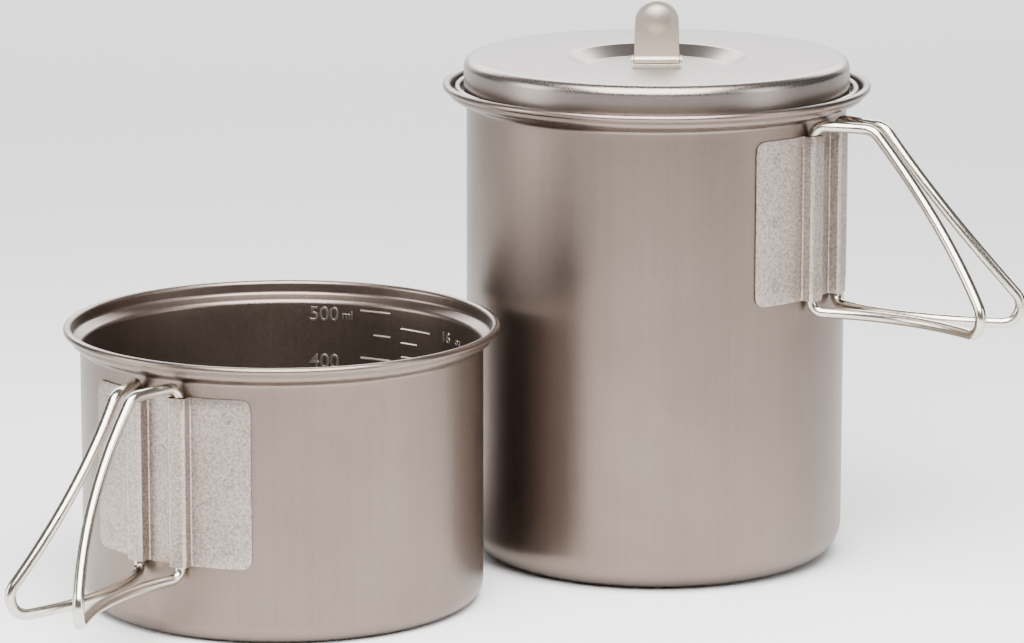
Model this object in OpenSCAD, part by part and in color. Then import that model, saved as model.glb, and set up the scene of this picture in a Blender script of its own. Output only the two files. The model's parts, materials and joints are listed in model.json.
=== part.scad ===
// Two-pot camping cook set: a tall pot with its lid on, and a short wide pot
// beside it that the tall pot nests into. Millimetres, +Z up. The origin is the
// centre of the tall pot's base, and +X points along the tall pot's handles.

/* [Sheet metal] */
// Thickness of the pot and lid sheet
sheet_t = 0.4; // [0.3:0.05:0.7]
// Outer radius of the bead rolled along each pot's mouth
bead_r = 1.0; // [0.8:0.05:1.4]
// Radius of the bends in each pot's mouth step
step_bend_r = 1.3; // [0.8:0.1:1.5]
// Height that each pot's mouth step climbs as it widens
step_rise = 1.6; // [1:0.1:2.5]
// Straight wall of the mouth, from the step to the top of the bead
mouth_h = 3.4; // [3.2:0.1:6]

/* [Tall pot] */
// Outer radius of the tall pot's body
tall_r = 49.2; // [40:0.1:70]
// Height of the tall pot, to the top of its bead
tall_h = 124.6; // [90:0.1:180]
// Radius of the tall pot's bottom corner
tall_base_r = 9; // [4:0.5:14]
// How much wider the tall pot's mouth is than its body, on each side
tall_flare = 4.6; // [3.8:0.1:7]

/* [Short pot] */
// Gap all round between the tall pot and the short pot that it nests into
nest_gap = 1.2; // [0.5:0.1:3]
// Height of the short pot, to the top of its bead
short_h = 70.7; // [60:0.1:120]
// Radius of the short pot's bottom corner
short_base_r = 5; // [3:0.5:12]
// How much wider the short pot's mouth is than its body, on each side
short_flare = 2.6; // [2.4:0.1:6]
// Gap between the two pots' mouths, standing side by side
pots_gap = 2.7; // [2:0.1:40]
// Direction from the tall pot to the short pot
pots_turn = -120; // [-140:1:-100]

/* [Lid] */
// Height of the lid's top above the bead that it closes
lid_rise = 6.4; // [4:0.1:12]
// How far the lid's skirt stands outside the line of the pot's body
lid_skirt_out = 0.7; // [0.2:0.1:1.2]
// Radius of the lid's top edge
lid_edge_r = 2.5; // [1.5:0.1:3.5]
// Width of the groove between the lid's skirt and its rolled edge
lid_groove_w = 0.9; // [0.6:0.1:1.2]
// Outer radius of the lid's rolled edge
lid_curl_r = 0.75; // [0.6:0.05:0.9]
// Distance from the top of the tall pot's bead down to the top of the lid's rolled edge
lid_curl_drop = 0.8; // [0.2:0.1:1.2]
// Gap between the lid's folded foot and the slope of the pot's mouth step
lid_seat_gap = 0.1; // [0.05:0.05:0.2]
// Radius of the round recess in the lid's top
recess_r = 23; // [21:0.1:30]
// Depth of the recess
recess_depth = 2.7; // [2.4:0.1:3.5]
// Width of the recess's sloping side
recess_slope = 4.7; // [3.5:0.1:6]

/* [Lid tab] */
// Width of the tab at its hinge
tab_w = 11.8; // [9:0.5:16]
// Length of the tab from its hinge pin to its round tip
tab_len = 15.6; // [13:0.1:17]
// Thickness of the tab
tab_t = 0.8; // [0.6:0.1:1]
// How much narrower the tab is at its tip than at its hinge
tab_taper = 0.5; // [0:0.1:3]
// Diameter of the finger dimple
dimple_d = 7.6; // [5:0.1:8.5]
// Depth of the finger dimple
dimple_depth = 0.7; // [0.4:0.1:1]
// Distance from the tab's tip to the middle of the dimple
dimple_inset = 4.8; // [4.4:0.1:6]
// Diameter of the hinge pin
pin_d = 1.2; // [0.8:0.1:1.4]
// Outer diameter of the tab's rolled knuckle
knuckle_d = 2.2; // [2:0.1:2.6]
// Gap around the pin, inside the knuckle
pin_play = 0.06; // [0.03:0.01:0.1]
// Thickness of the hinge clip's plate and ears
clip_t = 0.4; // [0.3:0.05:0.6]
// Gap between the knuckle and each ear of the clip
ear_play = 0.15; // [0.1:0.05:0.3]
// Gap between the knuckle and the clip's plate
knuckle_lift = 0.2; // [0.1:0.05:0.4]
// Depth of the clip's plate, across the hinge line
clip_depth = 2.8; // [2.6:0.1:6]
// Direction of the hinge line
tab_turn = 33.5; // [-90:0.5:90]

/* [Handle bracket] */
// Height of each handle bracket
bracket_h = 42.4; // [34:0.1:52]
// Width of the bracket, measured round the wall
bracket_arc = 48.2; // [42:0.1:60]
// Distance from the top of the bead down to the bracket
bracket_drop = 8.8; // [8:0.1:12]
// Radius of the bracket's corners
bracket_corner_r = 2.6; // [1:0.1:4]
// Thickness of the bracket's sheet
bracket_t = 0.5; // [0.4:0.05:0.8]
// Distance between the two wire channels
channel_gap = 12.6; // [11:0.1:16]
// Width inside a channel
channel_w = 3.9; // [3.3:0.1:4.5]
// Radius of a channel's outer edges
channel_edge_r = 0.9; // [0.6:0.1:1.2]
// Radius at the middle of the sheet where a channel's side leaves the wall
channel_root_r = 0.6; // [0.4:0.1:0.8]

/* [Spot welds] */
// Diameter of a spot weld on a bracket
weld_d = 3.3; // [2.4:0.1:4]
// Height that a spot weld stands above the bracket
weld_proud = 0.08; // [0.05:0.01:0.2]
// Distance from a wing's side edge to its welds
weld_side_inset = 5.8; // [4:0.1:7]
// Distance from a wing's top or bottom edge to its end welds
weld_end_inset = 4.8; // [4:0.1:8]
// Diameter of the two spot welds under the lid tab
clip_weld_d = 1.6; // [1:0.1:2]

/* [Wire handles] */
// Diameter of the handle wire
wire_d = 2.8; // [2.4:0.1:3.4]
// Gap between the wire and the pot's wall
wire_play = 0.15; // [0.1:0.05:0.3]
// Length of wire held inside the channel at each end
stub_l = 14; // [8:0.5:16]
// Height of the top arm's middle above the bracket
arm_over = 2.5; // [2:0.1:3]
// Distance of the bottom arm's middle below the bracket
arm_under = 3.1; // [2.6:0.1:5]
// Length of the top arm, to the start of the slope
top_arm_l = 15.8; // [10:0.1:24]
// Length of the bottom arm, to the sharp corner before rounding
reach_l = 58.5; // [48:0.5:72]
// Bend radius beside the channel
pivot_bend_r = 3; // [2:0.1:4]
// Bend radius from the top arm into the slope
slope_bend_r = 5; // [3:0.1:8]
// Bend radius at the loop's tip
tip_bend_r = 4.6; // [3:0.1:7]
// Radius that the whole loop is curved to in plan
loop_plan_r = 61; // [54:0.5:90]
// Opening of the tall pot's two loops from the wall, in degrees
tall_open = 117; // [90:1:125]
// Opening of the short pot's left loop from the wall, in degrees
short_left_open = 122; // [90:1:125]
// Opening of the short pot's right loop from the wall, in degrees
short_right_open = 113; // [90:1:125]

/* [Hidden] */
$fn = 96;

titanium = [0.68, 0.64, 0.60];
titanium_light = [0.75, 0.71, 0.67];
steel = [0.80, 0.78, 0.73];
weld_grey = [0.60, 0.56, 0.52];

// The short pot's wall clears the tall pot that nests into it.
short_r = tall_r + nest_gap + sheet_t;

// Mouth radii, at the middle of the sheet and at the bead's outside.
tall_mouth_r = tall_r + tall_flare - sheet_t / 2;
short_mouth_r = short_r + short_flare - sheet_t / 2;
curl_r = bead_r - sheet_t / 2;
tall_bead_out = tall_mouth_r + curl_r + bead_r;
short_bead_out = short_mouth_r + curl_r + bead_r;

// The short pot stands clear of the tall pot's bead, or of its wall where it is lower.
pots_reach = short_bead_out + tall_r + pots_gap;
short_at = [pots_reach * cos(pots_turn), pots_reach * sin(pots_turn), 0];
short_face = -90;

// The lid's skirt is folded up at its foot and rolled outwards above the fold. The fold
// rests just above the slope of the tall pot's mouth step.
lid_top = tall_h + lid_rise;
lid_skirt_r = tall_r + lid_skirt_out - sheet_t / 2;
fold_r = (lid_groove_w + sheet_t) / 2;
fold_at_r = lid_skirt_r + fold_r;
slope_share = (tall_mouth_r - fold_at_r) / tall_flare;
slope_cos = cos(atan(step_rise / tall_flare));
fold_z = tall_h - mouth_h - slope_share * step_rise + (sheet_t + lid_seat_gap + fold_r) / slope_cos;
lid_roll_r = lid_curl_r - sheet_t / 2;
recess_floor_r = recess_r - recess_slope;
recess_floor_z = lid_top - recess_depth;

// Radius of the bends at the lid's recess.
recess_bend_r = 1.6;

// Hinge of the lid tab. The clip's ears have ear_wall of metal round the pin.
pin_z = recess_floor_z + clip_t + knuckle_lift + knuckle_d / 2;
ear_in = tab_w / 2 + ear_play;
ear_wall = 0.65;
ear_r = pin_d / 2 + ear_wall;
pin_head = 0.2;
pin_l = 2 * (ear_in + clip_t + pin_head);

// Bracket and wire channels. Angles are measured at the wire's own radius.
wire_r = wire_d / 2;
wire_out = wire_play + wire_r;
channel_depth = wire_d + 2 * wire_play;
tall_bracket_z = tall_h - bracket_drop - bracket_h;
short_bracket_z = short_h - bracket_drop - bracket_h;
loop_sides = 12;
// The bent part of the loop laps into its straight ends, and is a hair thinner than they are.
lap = 1;
hair = 0.02;
swept_r = wire_r - hair;

// Cutting shapes run past what they cut. The block at a bracket's corner spans its sheet.
past = 1;
waste_l = 8;

function degrees_of(length, radius) = length / radius * 180 / PI;
function unit(v) = v / norm(v);
function back_to_front(list) = [for (i = [len(list) - 1 : -1 : 0]) list[i]];

// Points of a round corner of radius r at b, between a and c.
function bend(a, b, c, r, steps) =
    let (
        u = unit(a - b), v = unit(c - b),
        half = acos(u * v) / 2,
        middle = b + unit(u + v) * r / sin(half),
        from = b + u * r / tan(half) - middle,
        to = b + v * r / tan(half) - middle,
        start = atan2(from.y, from.x),
        turn = (atan2(to.y, to.x) - start + 540) % 360 - 180
    )
    [for (i = [0 : steps]) middle + r * [cos(start + turn * i / steps), sin(start + turn * i / steps)]];

// A polyline with each inner corner rounded to its own radius.
function bent_path(points, radii, steps) = [
    points[0],
    for (i = [1 : len(points) - 2]) each bend(points[i - 1], points[i], points[i + 1], radii[i - 1], steps),
    points[len(points) - 1]
];

// Points of an arc round middle, between two angles.
function arc(middle, r, from, to, steps) = [
    for (i = [0 : steps]) let (a = from + (to - from) * i / steps) middle + r * [cos(a), sin(a)]
];

// Direction of a path at point i, and the outline of a sheet of thickness t laid along it.
function heading(path, i) = unit(path[min(i + 1, len(path) - 1)] - path[max(i - 1, 0)]);
function beside(path, i, d) = let (h = heading(path, i)) path[i] + d * [-h.y, h.x];
function sheet_outline(path, t) = concat(
    [for (i = [0 : len(path) - 1]) beside(path, i, t / 2)],
    back_to_front([for (i = [0 : len(path) - 1]) beside(path, i, -t / 2)])
);

// A pot's wall from the middle of its base to the curl of its bead, at mid-sheet.
function pot_path(body_r, mouth_r, height, base_r) =
    let (
        wall_r = body_r - sheet_t / 2,
        curl_z = height - bead_r,
        step_z = height - mouth_h,
        base_bend = bend([0, sheet_t / 2], [wall_r, sheet_t / 2], [wall_r, step_z], base_r - sheet_t / 2, 10)
    )
    concat(
        [[0, sheet_t / 2], [body_r - base_r - sheet_t, sheet_t / 2]],
        base_bend,
        bent_path(
            [[wall_r, base_r + sheet_t], [wall_r, step_z - step_rise], [mouth_r, step_z], [mouth_r, curl_z]],
            [step_bend_r, step_bend_r], 8
        ),
        arc([mouth_r + curl_r, curl_z], curl_r, 157.5, -45, 9)
    );

module spun_sheet(path) {
    rotate_extrude() polygon(sheet_outline(path, sheet_t));
}

module tall_pot() {
    color(titanium) spun_sheet(pot_path(tall_r, tall_mouth_r, tall_h, tall_base_r));
}

module short_pot() {
    color(titanium) translate(short_at)
        spun_sheet(pot_path(short_r, short_mouth_r, short_h, short_base_r));
}

module lid() {
    top_z = lid_top - sheet_t / 2;
    floor_z = recess_floor_z - sheet_t / 2;
    roll_at = [fold_at_r + fold_r + lid_roll_r, tall_h - lid_curl_drop - lid_curl_r];
    path = concat(
        bent_path(
            [[0, floor_z], [recess_floor_r, floor_z], [recess_r, top_z],
             [lid_skirt_r, top_z], [lid_skirt_r, fold_z + sheet_t]],
            [recess_bend_r, recess_bend_r, lid_edge_r - sheet_t / 2], 8
        ),
        arc([fold_at_r, fold_z], fold_r, 180, 360, 8),
        arc(roll_at, lid_roll_r, 180, -45, 9)
    );
    color(titanium_light) spun_sheet(path);
}

// Places its children in a pot's bracket frame: the pot's axis at the origin and the bracket at +X.
module at_tall_bracket() {
    translate([0, 0, tall_bracket_z]) children();
}

module at_short_bracket() {
    translate(short_at + [0, 0, short_bracket_z]) rotate([0, 0, short_face]) children();
}

function polar(r, turn) = r * [cos(turn), sin(turn)];
function turned(p, turn) = [p.x * cos(turn) - p.y * sin(turn), p.x * sin(turn) + p.y * cos(turn)];

// Half of a bracket in plan, at mid-sheet, from the middle of its strip to the edge of its wing.
// The channel stands on the arc between the two as three sides of a box with rounded bends.
function bracket_half(wall_r) =
    let (
        mid_r = wall_r + bracket_t / 2,
        top_r = mid_r + channel_depth,
        side = (channel_w + bracket_t) / 2,
        turn = degrees_of(channel_gap / 2, wall_r + wire_out),
        foot_turn = asin(side / mid_r) + degrees_of(channel_root_r, mid_r),
        foot_x = sqrt(mid_r * mid_r - side * side),
        wing_turn = degrees_of(bracket_arc / 2, mid_r),
        corners = [[foot_x, -side], [top_r, -side], [top_r, side], [foot_x, side]],
        edge_r = channel_edge_r - bracket_t / 2
    )
    concat(
        [for (i = [0 : 3]) polar(mid_r, (turn - foot_turn) * i / 4)],
        bent_path(
            concat([polar(mid_r, turn - foot_turn)], [for (p = corners) turned(p, turn)],
                   [polar(mid_r, turn + foot_turn)]),
            [channel_root_r, edge_r, edge_r, channel_root_r], 5
        ),
        [for (i = [1 : 12]) polar(mid_r, turn + foot_turn + (wing_turn - turn - foot_turn) * i / 12)]
    );

function bracket_path(wall_r) =
    let (half = bracket_half(wall_r))
    concat([for (i = [len(half) - 1 : -1 : 1]) [half[i].x, -half[i].y]], half);

// A block with one round edge, taken off the bracket's corners.
module corner_waste(radius) {
    difference() {
        translate([0, -past, -past]) cube([waste_l, radius + past, radius + past]);
        translate([-past, radius, radius]) rotate([0, 90, 0]) cylinder(h = waste_l + 2 * past, r = radius);
    }
}

module bracket(wall_r) {
    wing_turn = degrees_of(bracket_arc / 2, wall_r + bracket_t / 2);
    difference() {
        linear_extrude(bracket_h) polygon(sheet_outline(bracket_path(wall_r), bracket_t));
        for (flip = [0, 1], end = [0, 1])
            translate([0, 0, end * bracket_h]) mirror([0, flip, 0]) mirror([0, 0, end])
                rotate([0, 0, -wing_turn]) translate([wall_r - waste_l / 2, 0, 0])
                    corner_waste(bracket_corner_r);
        bracket_welds(wall_r, -past, bracket_t + past);
    }
}

// Spot welds of one bracket: three on each wing and two on the strip between the channels.
// Each is a round plug that runs out from the wall, between the distances from and to.
module bracket_welds(wall_r, from, to) {
    wing_turn = degrees_of(bracket_arc / 2 - weld_side_inset, wall_r + bracket_t);
    for (side = [-1, 1], z = [weld_end_inset, bracket_h / 2, bracket_h - weld_end_inset])
        weld(wall_r, side * wing_turn, z, from, to);
    for (share = [1, 2])
        weld(wall_r, 0, share * bracket_h / 3, from, to);
}

module weld(wall_r, turn, z, from, to) {
    rotate([0, 0, turn]) translate([wall_r + from, 0, z]) rotate([0, 90, 0])
        cylinder(h = to - from, d = weld_d, $fn = 32);
}

module tall_bracket() {
    color(titanium_light) at_tall_bracket() bracket(tall_r);
}

module short_bracket() {
    color(titanium_light) at_short_bracket() bracket(short_r);
}

module tall_spot_welds() {
    color(weld_grey) at_tall_bracket() bracket_welds(tall_r, 0, bracket_t + weld_proud);
}

module short_spot_welds() {
    color(weld_grey) at_short_bracket() bracket_welds(short_r, 0, bracket_t + weld_proud);
}

// A path with extra points, so that no stretch of it is longer than gap.
function stepped(path, gap) = [
    for (i = [0 : len(path) - 2])
        let (span = path[i + 1] - path[i], count = ceil(norm(span) / gap))
        for (k = [0 : count - 1]) path[i] + span * k / count,
    path[len(path) - 1]
];

// The loop unrolled flat: distance from the pivot, and height above the bracket's foot.
loop_path = stepped(bent_path(
    [[0, bracket_h + arm_over - pivot_bend_r - lap], [0, bracket_h + arm_over],
     [top_arm_l, bracket_h + arm_over], [reach_l, -arm_under], [0, -arm_under],
     [0, pivot_bend_r - arm_under + lap]],
    [pivot_bend_r, slope_bend_r, tip_bend_r, pivot_bend_r], 7
), 4);

// Ring i of the swept wire. The loop lies on an upright cylinder that passes through the pivot.
function loop_ring(i, side) =
    let (
        turn = degrees_of(loop_path[i].x, loop_plan_r),
        h = heading(loop_path, i),
        outward = [cos(turn), side * sin(turn), 0],
        along = h.x * [-sin(turn), side * cos(turn), 0] + [0, 0, h.y],
        across = cross(along, outward),
        middle = loop_plan_r * (outward - [1, 0, 0]) + [0, 0, loop_path[i].y]
    )
    [for (k = [0 : loop_sides - 1])
        middle + swept_r * (cos(k * 360 / loop_sides) * outward + sin(k * 360 / loop_sides) * across)];

module loop_sweep(side) {
    rings = len(loop_path);
    n = loop_sides;
    walls = [for (i = [0 : rings - 2], k = [0 : n - 1]) let (m = (k + 1) % n)
        each [[i * n + k, (i + 1) * n + k, (i + 1) * n + m], [i * n + k, (i + 1) * n + m, i * n + m]]];
    ends = [[for (k = [0 : n - 1]) k], [for (k = [n - 1 : -1 : 0]) (rings - 1) * n + k]];
    polyhedron([for (i = [0 : rings - 1]) each loop_ring(i, side)], concat(walls, ends));
}

// One wire handle, its two ends standing in a channel. The side is 1 or -1 of the bracket's middle.
module wire_handle(wall_r, side, open) {
    pivot_r = wall_r + wire_out;
    rotate([0, 0, side * degrees_of(channel_gap / 2, pivot_r)]) translate([pivot_r, 0, 0])
        rotate([0, 0, -side * open]) {
            loop_sweep(side);
            translate([0, 0, bracket_h - stub_l])
                cylinder(h = stub_l + arm_over - pivot_bend_r, r = wire_r);
            translate([0, 0, pivot_bend_r - arm_under])
                cylinder(h = stub_l + arm_under - pivot_bend_r, r = wire_r);
        }
}

module tall_handle_left() {
    color(steel) at_tall_bracket() wire_handle(tall_r, -1, tall_open);
}

module tall_handle_right() {
    color(steel) at_tall_bracket() wire_handle(tall_r, 1, tall_open);
}

module short_handle_left() {
    color(steel) at_short_bracket() wire_handle(short_r, -1, short_left_open);
}

module short_handle_right() {
    color(steel) at_short_bracket() wire_handle(short_r, 1, short_right_open);
}

// Places its children at the tab's hinge, with X along the pin.
module at_tab_hinge() {
    rotate([0, 0, tab_turn]) translate([0, 0, pin_z]) children();
}

module along_pin(length, diameter) {
    rotate([0, 90, 0]) cylinder(h = length, d = diameter, center = true, $fn = 48);
}

// A folded clip: a plate on the recess floor with an upright ear at each end of the pin.
module tab_clip() {
    plate_z = recess_floor_z - pin_z;
    color(titanium_light) at_tab_hinge() difference() {
        union() {
            translate([-ear_in - clip_t, -clip_depth / 2, plate_z])
                cube([2 * (ear_in + clip_t), clip_depth, clip_t]);
            for (side = [-1, 1]) translate([side * (ear_in + clip_t / 2), 0, 0]) {
                along_pin(clip_t, 2 * ear_r);
                translate([-clip_t / 2, -ear_r, plate_z]) cube([clip_t, 2 * ear_r, -plate_z]);
            }
        }
        along_pin(pin_l + past, pin_d);
        translate([0, 0, plate_z]) clip_welds(-past, clip_t + past);
    }
}

// The two spot welds of the clip's plate, as round plugs between the heights from and to.
module clip_welds(from, to) {
    for (side = [-1, 1]) translate([side * tab_w / 4, 0, from])
        cylinder(h = to - from, d = clip_weld_d, $fn = 32);
}

module clip_spot_welds() {
    color(weld_grey) rotate([0, 0, tab_turn]) translate([0, 0, recess_floor_z])
        clip_welds(0, clip_t + weld_proud / 2);
}

module tab_pin() {
    color(steel) at_tab_hinge() along_pin(pin_l, pin_d);
}

// Outline of the tab, upright, with its pin at the origin and its round tip at the top.
module tab_outline() {
    tip_r = (tab_w - tab_taper) / 2;
    tip_y = tab_len - tip_r;
    polygon([[-tab_w / 2, 0], [tab_w / 2, 0], [tip_r, tip_y], [-tip_r, tip_y]]);
    translate([0, tip_y]) circle(tip_r);
}

// The tab is a flat tongue rolled round the pin, with a round finger dimple pressed through it.
module lid_tab() {
    ball_r = (pow(dimple_d / 2, 2) + pow(dimple_depth, 2)) / (2 * dimple_depth);
    dimple_z = tab_len - dimple_inset;
    color(titanium_light) at_tab_hinge() difference() {
        union() {
            rotate([90, 0, 0]) translate([0, 0, -tab_t / 2]) linear_extrude(tab_t) tab_outline();
            along_pin(tab_w, knuckle_d);
            intersection() {
                translate([0, ball_r - dimple_depth - tab_t / 2, dimple_z]) sphere(ball_r);
                translate([-dimple_d, -ball_r, dimple_z - dimple_d])
                    cube([2 * dimple_d, ball_r, 2 * dimple_d]);
            }
        }
        translate([0, ball_r - dimple_depth + tab_t / 2, dimple_z]) sphere(ball_r);
        along_pin(tab_w + past, pin_d + 2 * pin_play);
    }
}

tall_pot();
tall_bracket();
tall_spot_welds();
tall_handle_left();
tall_handle_right();
short_pot();
short_bracket();
short_spot_welds();
short_handle_left();
short_handle_right();
lid();
tab_clip();
clip_spot_welds();
tab_pin();
lid_tab();
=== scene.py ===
# %% [markdown]
# # A titanium camping cook set
# The real set is thin titanium sheet: two spun pots with rolled rims, a pressed lid with a folding
# finger tab, and on each pot a folded bracket that two bent wire loops swing in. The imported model
# is the frame: it says where every piece stands and turns. Each piece is built again here at a
# finer finish, in the same place, and rides on the same body, so that it moves with the model.

# %% Load the frame
import json
import math

import bmesh
import bpy
from mathutils import Matrix, Vector


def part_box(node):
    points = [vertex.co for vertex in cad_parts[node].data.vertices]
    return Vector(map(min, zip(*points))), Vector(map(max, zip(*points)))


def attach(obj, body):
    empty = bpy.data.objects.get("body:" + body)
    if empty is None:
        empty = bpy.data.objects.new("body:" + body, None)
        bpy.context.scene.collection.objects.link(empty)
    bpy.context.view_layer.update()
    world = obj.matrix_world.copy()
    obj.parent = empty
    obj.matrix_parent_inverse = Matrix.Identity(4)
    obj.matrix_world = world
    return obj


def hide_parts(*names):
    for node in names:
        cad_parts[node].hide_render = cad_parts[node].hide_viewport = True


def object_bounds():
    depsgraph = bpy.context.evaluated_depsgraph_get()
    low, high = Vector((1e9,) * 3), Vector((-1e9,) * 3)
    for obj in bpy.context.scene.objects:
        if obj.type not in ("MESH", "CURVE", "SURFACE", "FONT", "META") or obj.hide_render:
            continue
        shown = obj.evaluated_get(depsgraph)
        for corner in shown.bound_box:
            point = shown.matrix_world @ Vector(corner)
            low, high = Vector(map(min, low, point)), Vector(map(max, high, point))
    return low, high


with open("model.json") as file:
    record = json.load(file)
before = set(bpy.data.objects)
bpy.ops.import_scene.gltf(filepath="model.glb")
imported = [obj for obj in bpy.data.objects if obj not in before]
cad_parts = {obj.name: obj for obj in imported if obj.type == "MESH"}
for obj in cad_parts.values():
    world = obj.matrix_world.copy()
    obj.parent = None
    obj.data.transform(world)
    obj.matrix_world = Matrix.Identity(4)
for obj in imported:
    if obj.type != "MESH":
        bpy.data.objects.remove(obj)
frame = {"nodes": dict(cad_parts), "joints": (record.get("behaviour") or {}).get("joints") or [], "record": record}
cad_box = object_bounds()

MM = 0.001

# %% [markdown]
# ## Sizes
# A mount or a hinge gives a place, and a node's box gives a height or a radius. What no box can
# give, such as the thickness of the sheet or the radius of a bend, is named here once.

# %% Places and sizes that the frame gives
mounts = {m["name"]: Vector(m["pos_m"]) for m in frame["record"]["mounts"]}
joints = {j["name"]: j for j in frame["joints"]}
tall_axis = mounts["tall_pot_base"]
short_axis = mounts["short_pot_base"]
tall_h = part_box("tall_pot")[1].z
short_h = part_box("short_pot")[1].z
tall_bead_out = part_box("tall_pot")[1].x - tall_axis.x
short_bead_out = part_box("short_pot")[1].x - short_axis.x
print(f"tall pot {tall_h / MM:.1f} mm high, short pot {short_h / MM:.1f} mm high")

# %% Sizes of the sheet metal
SHEET_T = 0.4 * MM
BEAD_R = 1.0 * MM
MOUTH_H = 3.4 * MM
STEP_RISE = 1.6 * MM
STEP_BEND_R = 1.3 * MM
CURL_R = BEAD_R - SHEET_T / 2
TALL_FLARE, TALL_BASE_R = 4.6 * MM, 9.0 * MM
SHORT_FLARE, SHORT_BASE_R = 2.6 * MM, 5.0 * MM
tall_mouth_r = tall_bead_out - BEAD_R - CURL_R
short_mouth_r = short_bead_out - BEAD_R - CURL_R
tall_r = tall_mouth_r - TALL_FLARE + SHEET_T / 2
short_r = short_mouth_r - SHORT_FLARE + SHEET_T / 2
print(f"bodies {2 * tall_r / MM:.1f} mm and {2 * short_r / MM:.1f} mm across")

# %% [markdown]
# ## The camera
# A long lens from about 1.3 metres keeps the pots' sides upright. It comes first, so that
# everything after it can be judged from where it will be seen.

# %% Camera
LENS, SIDEWAYS_SHIFT = 178.7, 0.0313
CAMERA_PLACE = (0.6789, -1.1106, 0.3345)
CAMERA_TILT, CAMERA_TURN = 78.12, 33.45
camera_data = bpy.data.cameras.new("camera")
camera_data.lens = LENS
camera_data.sensor_width = 36.0
camera_data.shift_x = SIDEWAYS_SHIFT
camera_data.clip_end = 50.0
camera = bpy.data.objects.new("camera", camera_data)
camera.location = CAMERA_PLACE
camera.rotation_euler = (math.radians(CAMERA_TILT), 0.0, math.radians(CAMERA_TURN))
bpy.context.scene.collection.objects.link(camera)
bpy.context.scene.camera = camera
print("camera", [round(x, 3) for x in camera.location])

# %% [markdown]
# ## Bent sheet and bent wire
# Sheet and wire are both drawn as a path with sharp corners that are then rounded, each to its
# own radius, which is how a bending drawing gives them. `bent_path` does the rounding, and
# `sheet_outline` gives the path its thickness.

# %% Paths with rounded corners
def bend(a, b, c, radius, steps):
    """Points of the round corner at b, between a and c."""
    u, v = (a - b).normalized(), (c - b).normalized()
    half = u.angle(v) / 2
    middle = b + (u + v).normalized() * radius / math.sin(half)
    start = b + u * radius / math.tan(half) - middle
    stop = b + v * radius / math.tan(half) - middle
    first = math.atan2(start.y, start.x)
    turn = (math.atan2(stop.y, stop.x) - first + 3 * math.pi) % (2 * math.pi) - math.pi
    angles = [first + turn * i / steps for i in range(steps + 1)]
    return [middle + radius * Vector((math.cos(a), math.sin(a))) for a in angles]


def bent_path(points, radii, steps):
    points = [Vector(p) for p in points]
    path = [points[0]]
    for i, radius in enumerate(radii):
        path += bend(points[i], points[i + 1], points[i + 2], radius, steps)
    return path + [points[-1]]


def beside(path, i, distance):
    """The point at that distance to the left of the path's point i."""
    along = (path[min(i + 1, len(path) - 1)] - path[max(i - 1, 0)]).normalized()
    return path[i] + distance * Vector((-along.y, along.x))


def arc(middle, radius, start, stop, steps):
    """Points of an arc between two angles in degrees."""
    angles = [math.radians(start + (stop - start) * i / steps) for i in range(steps + 1)]
    return [Vector(middle) + radius * Vector((math.cos(a), math.sin(a))) for a in angles]


def sheet_outline(path, thickness):
    left = [beside(path, i, thickness / 2) for i in range(len(path))]
    right = [beside(path, i, -thickness / 2) for i in range(len(path))]
    return right + left[::-1]


POLISH_AND_SHEEN_BEND_R = 0.8 * MM


def bend_polish_and_sheen(path):
    """How much a bend is painted lighter, a painted highlight, and polished smoother, from 0 on flat sheet to 1 on
    a tight bend.
    """
    rub = [0.0] * len(path)
    for i in range(1, len(path) - 1):
        before, after = path[i] - path[i - 1], path[i + 1] - path[i]
        if before.length > 1e-7 and after.length > 1e-7:
            tightness = before.angle(after) / ((before.length + after.length) / 2)
            rub[i] = min(1.0, tightness * POLISH_AND_SHEEN_BEND_R)
    return rub


# %% [markdown]
# ## Meshes from rules
# `new_piece` makes an object with its place in its mesh. Edges sharper than a bend's small steps
# stay sharp in the shading. On each point one value says how much a bend is painted lighter, a
# painted highlight, and polished smoother, and an `upright` value says how much its face stands
# like a wall. The materials read both.

# %% Make an object from points and faces
SHARP = math.radians(32)


def shade(mesh):
    mesh.shade_smooth()
    mesh.set_sharp_from_angle(angle=SHARP)


def new_piece(name, points, faces, rub=None):
    mesh = bpy.data.meshes.new(name)
    mesh.from_pydata([tuple(p) for p in points], [], faces)
    if rub is not None:
        layer = mesh.attributes.new("rub", "FLOAT", "POINT")
        layer.data.foreach_set("value", rub)
    work = bmesh.new()
    work.from_mesh(mesh)
    bmesh.ops.recalc_face_normals(work, faces=work.faces)
    work.to_mesh(mesh)
    work.free()
    upright = mesh.attributes.new("upright", "FLOAT", "POINT")
    upright.data.foreach_set("value", [max(0.0, 1.0 - 2.0 * abs(v.normal.z)) for v in mesh.vertices])
    shade(mesh)
    piece = bpy.data.objects.new(name, mesh)
    bpy.context.scene.collection.objects.link(piece)
    return piece


def thicken(piece, thickness):
    sheet = piece.modifiers.new("sheet", "SOLIDIFY")
    sheet.thickness, sheet.offset, sheet.use_even_offset = thickness, 0.0, True


def break_edges(piece, width, segments):
    edge = piece.modifiers.new("edge", "BEVEL")
    edge.width, edge.segments = width, segments
    edge.limit_method, edge.angle_limit = "ANGLE", math.radians(50)


def settle(piece):
    """Turns the piece and its modifiers into one plain mesh."""
    depsgraph = bpy.context.evaluated_depsgraph_get()
    mesh = bpy.data.meshes.new_from_object(piece.evaluated_get(depsgraph))
    mesh.name = piece.name
    piece.modifiers.clear()
    piece.data = mesh
    shade(mesh)
    return piece


# %% Spin an outline round an upright axis
SPIN_STEPS = 192


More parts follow.
